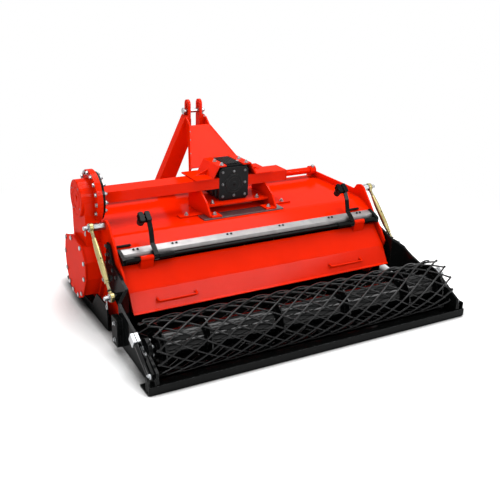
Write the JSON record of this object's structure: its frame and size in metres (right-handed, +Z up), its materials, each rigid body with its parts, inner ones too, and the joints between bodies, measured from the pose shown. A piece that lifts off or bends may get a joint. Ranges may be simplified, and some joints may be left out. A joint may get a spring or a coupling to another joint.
{
  "type": "rotavator",
  "caption": "Tractor mounted rotary tiller with side drive, steel deck, hinged rear hood and an adjustable mesh roller behind, on a three-point hitch.",
  "frame": {"origin": "on the floor under the middle of the machine", "axes": "X to the right seen from behind, Y forward in the direction of travel, Z up"},
  "size_m": [1.804, 1.592, 0.9709],
  "materials": {
    "red_paint": "gloss red paint",
    "black_paint": "satin black paint",
    "cast_black": "painted casting",
    "aluminium": "mill finish bar",
    "zinc_yellow": "yellow zinc plate",
    "steel": "bright zinc",
    "black_rubber": "moulded rubber"
  },
  "bodies": {
    "chassis": {"arm_pivots": "black_paint", "clamp_bar": "aluminium", "counter_tube": "red_paint", "deck": "red_paint", "drive_case": "red_paint", "drive_cover_lower": "red_paint", "drive_cover_upper": "red_paint", "drive_ring": "black_paint", "front_beam": "red_paint", "front_tube": "red_paint", "gearbox": "cast_black", "gearbox_brackets": "red_paint", "gearbox_cover": "cast_black", "gearbox_cradle": "red_paint", "hinge_knuckles": "black_paint", "hinge_rod": "black_paint", "hitch_pins": "steel", "hood_stops": "black_paint", "lower_hitch": "red_paint", "mast": "red_paint", "mast_cover": "red_paint", "rotor_bearing": "black_paint", "screw_studs": "steel", "seal_strip": "black_rubber", "side_plate_left": "red_paint", "side_plate_right": "red_paint", "skid_left": "black_paint", "skid_right": "black_paint", "slide_strip": "aluminium", "stop_buffers": "black_rubber", "top_link_pin": "steel", "transmission_tube": "red_paint"},
    "screw_left_top": {"screw_upper_left": "zinc_yellow", "screw_barrel_left": "zinc_yellow"},
    "screw_left_low": {"screw_lower_left": "zinc_yellow"},
    "screw_right_top": {"screw_upper_right": "zinc_yellow", "screw_barrel_right": "zinc_yellow"},
    "screw_right_low": {"screw_lower_right": "zinc_yellow"},
    "input": {"input_shaft": "steel"},
    "rotor": {"rotor_shaft": "black_paint", "rotor_blades": "black_paint"},
    "hood": {"rear_hood": "red_paint", "hood_handles": "red_paint"},
    "roller_frame": {"roller_arm_left": "black_paint", "roller_arm_right": "black_paint", "roller_bearings": "black_paint", "scraper_adjusters": "steel", "scraper_bar": "black_paint"},
    "roller": {"roller_core": "black_paint", "roller_mesh_a": "black_paint", "roller_mesh_b": "black_paint"}
  },
  "joints": [
    {"name": "rotor_turn", "type": "hinge", "parent": "chassis", "child": "rotor", "pos_m": [0, 0.24, 0.222], "axis": [1, 0, 0], "continuous": true},
    {"name": "input_turn", "type": "hinge", "parent": "chassis", "child": "input", "pos_m": [0, 0.391, 0.603], "axis": [0, 1, 0], "continuous": true},
    {"name": "hood_open", "type": "hinge", "parent": "chassis", "child": "hood", "pos_m": [0, -0.16, 0.37], "axis": [-1, 0, 0], "range_deg": [0, 150]},
    {"name": "roller_lift", "type": "hinge", "parent": "chassis", "child": "roller_frame", "pos_m": [0, -0.02, 0.235], "axis": [-1, 0, 0], "range_deg": [-8, 12]},
    {"name": "roller_turn", "type": "hinge", "parent": "roller_frame", "child": "roller", "pos_m": [0, -0.633, 0.138], "axis": [1, 0, 0], "continuous": true},
    {"name": "screw_swing_left", "type": "hinge", "parent": "chassis", "child": "screw_left_top", "pos_m": [-0.859, 0.042, 0.496], "axis": [-1, 0, 0], "range_deg": [-3.39, 5.06]},
    {"name": "screw_length_left", "type": "slide", "parent": "screw_left_top", "child": "screw_left_low", "axis": [0, -0.7187, -0.6953], "range_m": [-0.0315, 0.021]},
    {"name": "screw_swing_right", "type": "hinge", "parent": "chassis", "child": "screw_right_top", "pos_m": [0.859, 0.042, 0.496], "axis": [-1, 0, 0], "range_deg": [-3.39, 5.06]},
    {"name": "screw_length_right", "type": "slide", "parent": "screw_right_top", "child": "screw_right_low", "axis": [0, -0.7187, -0.6953], "range_m": [-0.0315, 0.021]}
  ],
  "couplings": [
    {"joint": "input_turn", "follows": "rotor_turn", "ratio": 2.35},
    {"joint": "screw_swing_left", "follows": "roller_lift", "ratio": 0.4091},
    {"joint": "screw_length_left", "follows": "roller_lift", "m_per_rad": -0.1475},
    {"joint": "screw_swing_right", "follows": "roller_lift", "ratio": 0.4091},
    {"joint": "screw_length_right", "follows": "roller_lift", "m_per_rad": -0.1475}
  ]
}
